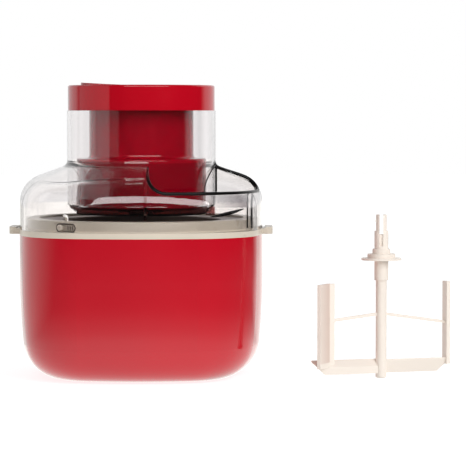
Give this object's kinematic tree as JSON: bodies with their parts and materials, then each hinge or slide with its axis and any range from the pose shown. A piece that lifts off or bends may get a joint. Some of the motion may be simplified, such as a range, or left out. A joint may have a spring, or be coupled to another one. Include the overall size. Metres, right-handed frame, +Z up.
{
  "type": "ice cream maker",
  "caption": "Countertop ice cream maker: red rounded-square casing, lift-out freezer bowl, clear lid with pouring spout, drop-in geared motor with rocker switch, and a loose mixing paddle.",
  "frame": {"origin": "middle of the base pad's underside, on the table, on the axis of bowl, motor and drive", "axes": "+Z up, the front faces -Y, +X to the right as seen from the front, towards the paddle"},
  "size_m": [0.3622, 0.2, 0.2412],
  "materials": {
    "red_gloss": "glossy",
    "cream_plastic": "satin",
    "clear_plastic": "clear, polished",
    "white_plastic": "satin",
    "dark_aluminium": "dark anodised",
    "grey_plastic": "satin",
    "coolant": "gel",
    "seal_rubber": "matte",
    "pad_rubber": "matte",
    "gland_rubber": "matte",
    "black_plastic": "matte",
    "gear_plastic": "satin",
    "steel": "plated",
    "magnet": "matte",
    "copper": "enamelled wire",
    "bronze": "sintered"
  },
  "bodies": {
    "base": {"outer_casing": "red_gloss", "base_pad": "pad_rubber"},
    "freezer_bowl": {"rim_ring": "cream_plastic", "rim_seal": "seal_rubber", "bowl_liner": "dark_aluminium", "bowl_shell": "grey_plastic", "coolant_gel": "coolant", "fill_plug": "seal_rubber"},
    "lid": {"clear_lid": "clear_plastic"},
    "motor_unit": {"top_cap": "red_gloss", "rocker_pin": "steel", "switch_block": "black_plastic", "cord_gland": "gland_rubber", "motor_housing": "red_gloss", "gear_drum": "red_gloss", "gear_plate": "steel", "gear_pillars": "steel", "idler_pin": "steel", "drum_screws": "steel", "cap_screws": "steel", "motor_can": "steel", "stator_coil": "copper", "shaft_bushes": "bronze", "drive_bush": "bronze", "thrust_washer": "steel"},
    "rocker": {"power_rocker": "red_gloss"},
    "rotor": {"rotor_shaft": "steel", "rotor_magnet": "magnet", "motor_pinion": "gear_plastic"},
    "idler": {"reduction_gear": "gear_plastic"},
    "drive": {"drive_socket": "gear_plastic", "drive_gear": "gear_plastic"},
    "paddle": {"mixing_paddle": "white_plastic", "splash_disc": "white_plastic"}
  },
  "joints": [
    {"name": "bowl_lift", "type": "slide", "parent": "base", "child": "freezer_bowl", "axis": [0, 0, 1], "range_m": [0, 0.13]},
    {"name": "lid_lift", "type": "slide", "parent": "freezer_bowl", "child": "lid", "axis": [0, 0, 1], "range_m": [0, 0.1]},
    {"name": "motor_lift", "type": "slide", "parent": "lid", "child": "motor_unit", "axis": [0, 0, 1], "range_m": [0, 0.11]},
    {"name": "rocker_tilt", "type": "hinge", "parent": "motor_unit", "child": "rocker", "pos_m": [0, 0, 0.234], "axis": [0, 1, 0], "range_deg": [-2.5, 0]},
    {"name": "rotor_spin", "type": "hinge", "parent": "motor_unit", "child": "rotor", "pos_m": [0, 0, 0.19], "axis": [0, 0, 1], "continuous": true},
    {"name": "idler_spin", "type": "hinge", "parent": "motor_unit", "child": "idler", "pos_m": [0.024, 0, 0.16], "axis": [0, 0, 1], "continuous": true},
    {"name": "drive_spin", "type": "hinge", "parent": "motor_unit", "child": "drive", "pos_m": [0, 0, 0.15], "axis": [0, 0, 1], "continuous": true},
    {"name": "paddle_lift", "type": "slide", "parent": "base", "child": "paddle", "axis": [0, 0, 1], "range_m": [0, 0.15]}
  ],
  "couplings": [
    {"joint": "idler_spin", "follows": "rotor_spin", "ratio": -0.33333},
    {"joint": "drive_spin", "follows": "rotor_spin", "ratio": 0.11111}
  ]
}
